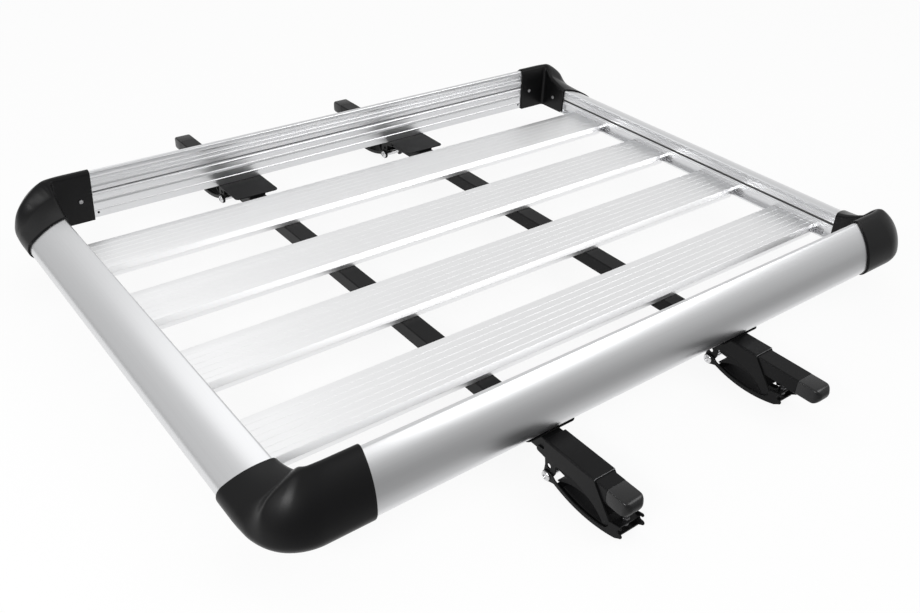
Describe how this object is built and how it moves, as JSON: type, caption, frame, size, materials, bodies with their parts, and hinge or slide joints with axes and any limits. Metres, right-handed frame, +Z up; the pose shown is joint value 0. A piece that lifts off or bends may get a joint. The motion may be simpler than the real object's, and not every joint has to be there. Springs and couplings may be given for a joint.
{
  "type": "roof rack",
  "caption": "Shallow cargo basket with curved aluminium rails, moulded corner elbows and slats, on two cross bars that stand on clamp feet with hinged straps.",
  "frame": {"origin": "middle of the footprint on the floor under the clamp feet", "axes": "+X along the slats to the right side rail, +Y along the cross bars to the back rail, +Z up"},
  "size_m": [1.2148, 1.272, 0.1536],
  "materials": {
    "rail_aluminium": "satin anodised",
    "slat_aluminium": "fine satin",
    "moulding": "satin moulded",
    "cap_plastic": "satin",
    "black_steel": "powder coat",
    "black_rubber": "smooth",
    "screw_steel": "dark zinc",
    "bolt_steel": "zinc plated"
  },
  "bodies": {
    "rack": {"rail_front": "rail_aluminium", "rail_back": "rail_aluminium", "rail_left": "rail_aluminium", "rail_right": "rail_aluminium", "corner_front_left": "moulding", "corner_front_right": "moulding", "corner_back_left": "moulding", "corner_back_right": "moulding", "corner_screws": "screw_steel", "slat_1": "slat_aluminium", "slat_2": "slat_aluminium", "slat_3": "slat_aluminium", "slat_4": "slat_aluminium", "slat_angles": "slat_aluminium", "crossbar_left": "black_steel", "crossbar_right": "black_steel", "bar_caps": "cap_plastic", "mount_plates": "black_steel", "spacers": "black_rubber"},
    "clamp_front_left": {"bracket_front_left": "black_steel", "saddle_front_left": "black_rubber", "bolt_front_left": "bolt_steel"},
    "jaw_front_left": {"strap_front_left": "black_steel", "liner_front_left": "black_rubber", "tie_bolt_front_left": "bolt_steel"},
    "clamp_front_right": {"bracket_front_right": "black_steel", "saddle_front_right": "black_rubber", "bolt_front_right": "bolt_steel"},
    "jaw_front_right": {"strap_front_right": "black_steel", "liner_front_right": "black_rubber", "tie_bolt_front_right": "bolt_steel"},
    "clamp_back_left": {"bracket_back_left": "black_steel", "saddle_back_left": "black_rubber", "bolt_back_left": "bolt_steel"},
    "jaw_back_left": {"strap_back_left": "black_steel", "liner_back_left": "black_rubber", "tie_bolt_back_left": "bolt_steel"},
    "clamp_back_right": {"bracket_back_right": "black_steel", "saddle_back_right": "black_rubber", "bolt_back_right": "bolt_steel"},
    "jaw_back_right": {"strap_back_right": "black_steel", "liner_back_right": "black_rubber", "tie_bolt_back_right": "bolt_steel"}
  },
  "joints": [
    {"name": "slide_front_left", "type": "slide", "parent": "rack", "child": "clamp_front_left", "axis": [0, -1, 0], "range_m": [-0.068, 0.02]},
    {"name": "jaw_front_left", "type": "hinge", "parent": "clamp_front_left", "child": "jaw_front_left", "pos_m": [-0.205, -0.50395, 0.0145], "axis": [1, 0, 0], "range_deg": [0, 35]},
    {"name": "slide_front_right", "type": "slide", "parent": "rack", "child": "clamp_front_right", "axis": [0, -1, 0], "range_m": [-0.018, 0.07]},
    {"name": "jaw_front_right", "type": "hinge", "parent": "clamp_front_right", "child": "jaw_front_right", "pos_m": [0.167, -0.45395, 0.0145], "axis": [1, 0, 0], "range_deg": [0, 35]},
    {"name": "slide_back_left", "type": "slide", "parent": "rack", "child": "clamp_back_left", "axis": [0, 1, 0], "range_m": [-0.06, 0.1]},
    {"name": "jaw_back_left", "type": "hinge", "parent": "clamp_back_left", "child": "jaw_back_left", "pos_m": [-0.205, 0.41795, 0.0145], "axis": [-1, 0, 0], "range_deg": [0, 35]},
    {"name": "slide_back_right", "type": "slide", "parent": "rack", "child": "clamp_back_right", "axis": [0, 1, 0], "range_m": [-0.065, 0.095]},
    {"name": "jaw_back_right", "type": "hinge", "parent": "clamp_back_right", "child": "jaw_back_right", "pos_m": [0.167, 0.42295, 0.0145], "axis": [-1, 0, 0], "range_deg": [0, 35]}
  ]
}
